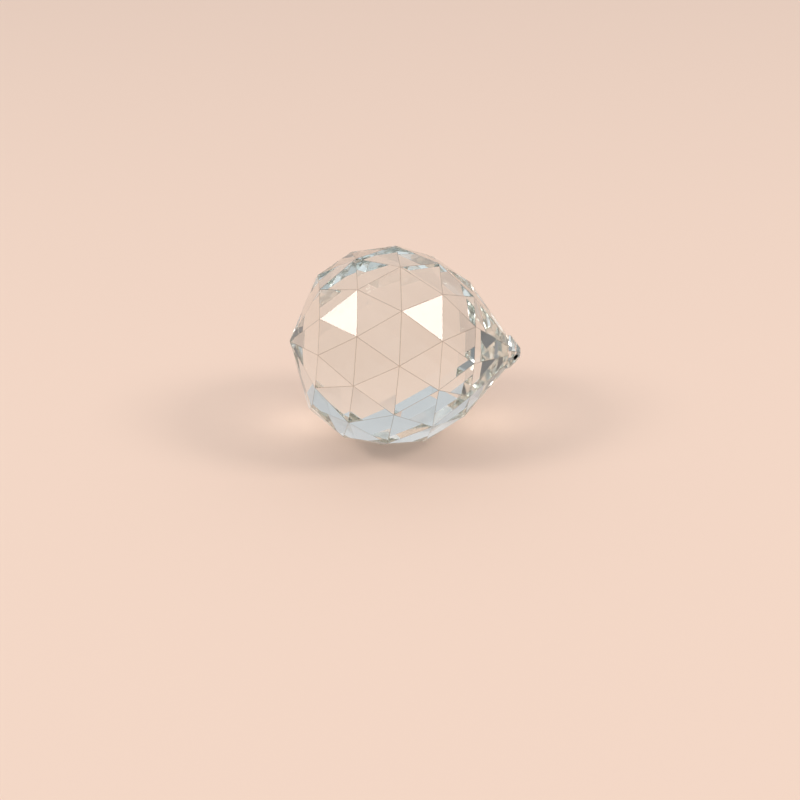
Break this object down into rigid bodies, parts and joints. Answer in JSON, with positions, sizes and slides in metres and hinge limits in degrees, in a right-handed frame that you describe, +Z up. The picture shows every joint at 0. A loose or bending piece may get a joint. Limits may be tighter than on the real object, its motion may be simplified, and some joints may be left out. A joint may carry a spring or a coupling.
{
  "type": "crystal ball suncatcher",
  "caption": "Clear cut-crystal ball in flat triangular facets, drawn out by long facets to a small drilled knob; it hangs on a thread in a window and throws rainbows.",
  "frame": {"origin": "bottom centre of the part's bounding box; the ball lies on one of its own facets", "axes": "+Z up, +X along the ball towards its drilled knob, +Y along the thread bore"},
  "size_m": [0.057, 0.0482, 0.0479],
  "materials": {
    "crystal": "clear colourless cut crystal, ground and polished flat facets with crisp edges"
  },
  "bodies": {
    "root": {"crystal_ball": "crystal"}
  },
  "joints": []
}
